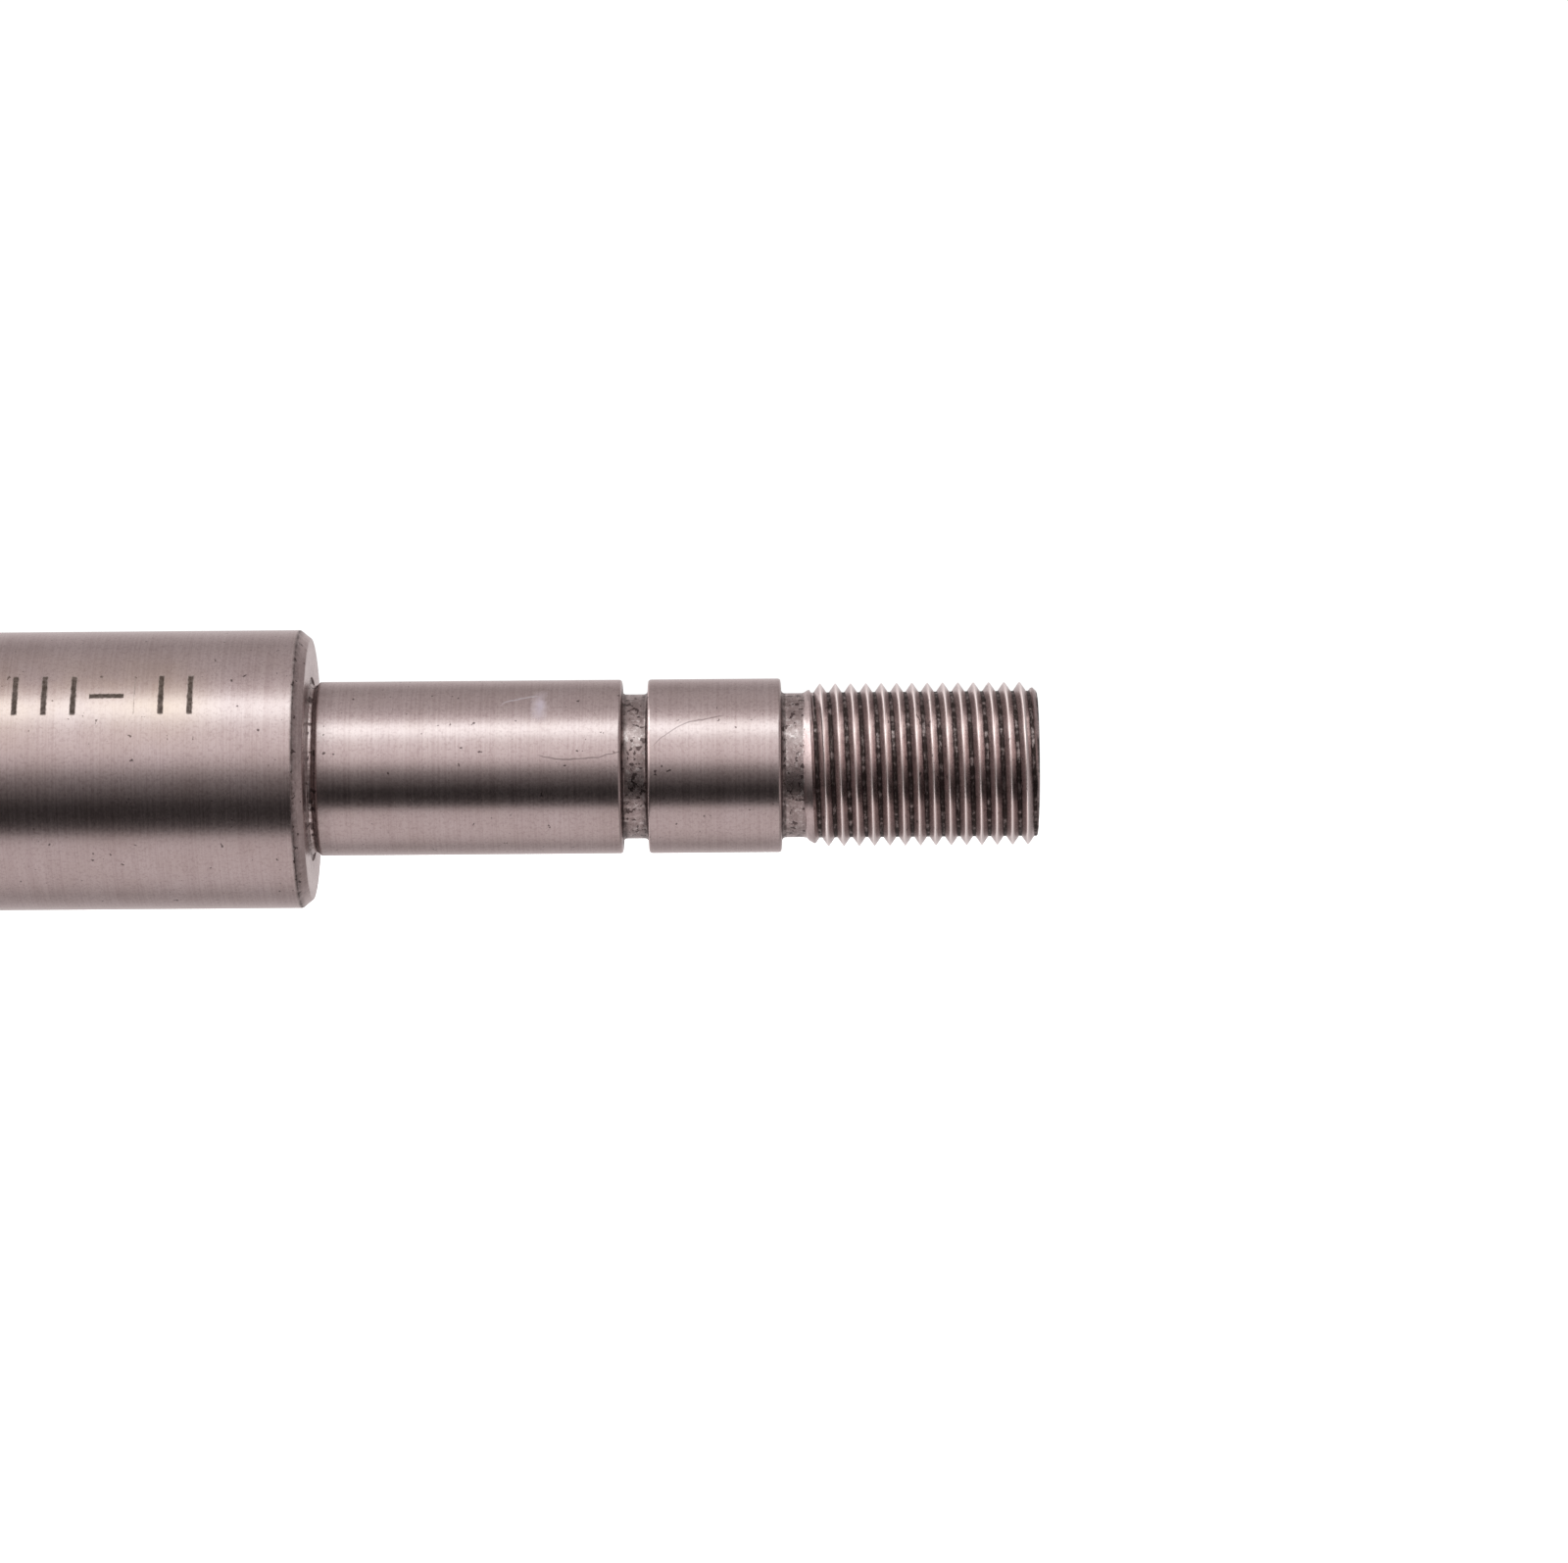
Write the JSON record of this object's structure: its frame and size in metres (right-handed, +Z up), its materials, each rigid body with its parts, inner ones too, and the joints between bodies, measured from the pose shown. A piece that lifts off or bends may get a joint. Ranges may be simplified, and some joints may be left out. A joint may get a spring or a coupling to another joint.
{
  "type": "ball screw assembly",
  "caption": "Ground ball screw shaft with stepped bearing end and locknut thread, carrying a flanged ball nut with return tubes, wipers and a grease nipple.",
  "frame": {"origin": "on the screw's axis at the bearing shoulder of the fixed end", "axes": "+X along the screw's axis from the shoulder towards the locknut thread, +Z up through the nut's return tubes and grease nipple"},
  "size_m": [0.3608, 0.085, 0.094],
  "materials": {
    "ground_steel": "fine-ground hardened steel, lightly marked",
    "nut_steel": "ground and oiled alloy steel",
    "tube_steel": "bright drawn steel tube",
    "ball_steel": "polished bearing steel",
    "black_oxide": "black oxide on alloy steel",
    "spring_steel": "phosphated spring steel",
    "zinc_steel": "zinc plated steel",
    "wiper_plastic": "natural acetal"
  },
  "bodies": {
    "screw": {"screw_shaft": "ground_steel"},
    "rear_ring": {"snap_ring_rear": "spring_steel"},
    "nut": {"nut_body": "nut_steel", "return_tube_rear": "tube_steel", "return_tube_front": "tube_steel", "loaded_balls_rear": "ball_steel", "loaded_balls_front": "ball_steel", "return_balls_rear": "ball_steel", "return_balls_front": "ball_steel", "tube_clamp": "zinc_steel", "clamp_screws": "black_oxide", "clamp_lock_washers": "zinc_steel", "wiper_rear": "wiper_plastic", "wiper_front": "wiper_plastic", "snap_ring_front": "spring_steel", "grease_nipple": "zinc_steel", "nipple_spring": "spring_steel", "port_plug": "black_oxide"},
    "check_ball": {"nipple_ball": "ball_steel"}
  },
  "joints": [
    {"name": "nut_travel", "type": "slide", "parent": "screw", "child": "rear_ring", "axis": [1, 0, 0], "range_m": [-0.0541, 0.0541]},
    {"name": "nut_turn", "type": "hinge", "parent": "rear_ring", "child": "nut", "pos_m": [-0.145, 0, 0], "axis": [1, 0, 0], "range_deg": [-3240, 3240]},
    {"name": "check_ball_travel", "type": "slide", "parent": "nut", "child": "check_ball", "axis": [0, 0, 1], "range_m": [-0.0008, 0], "stiffness_N_per_m": 60, "springref_m": 0.001, "deforming": ["nipple_spring"]}
  ],
  "couplings": [
    {"joint": "nut_travel", "follows": "nut_turn", "m_per_rad": 0.00095493}
  ]
}
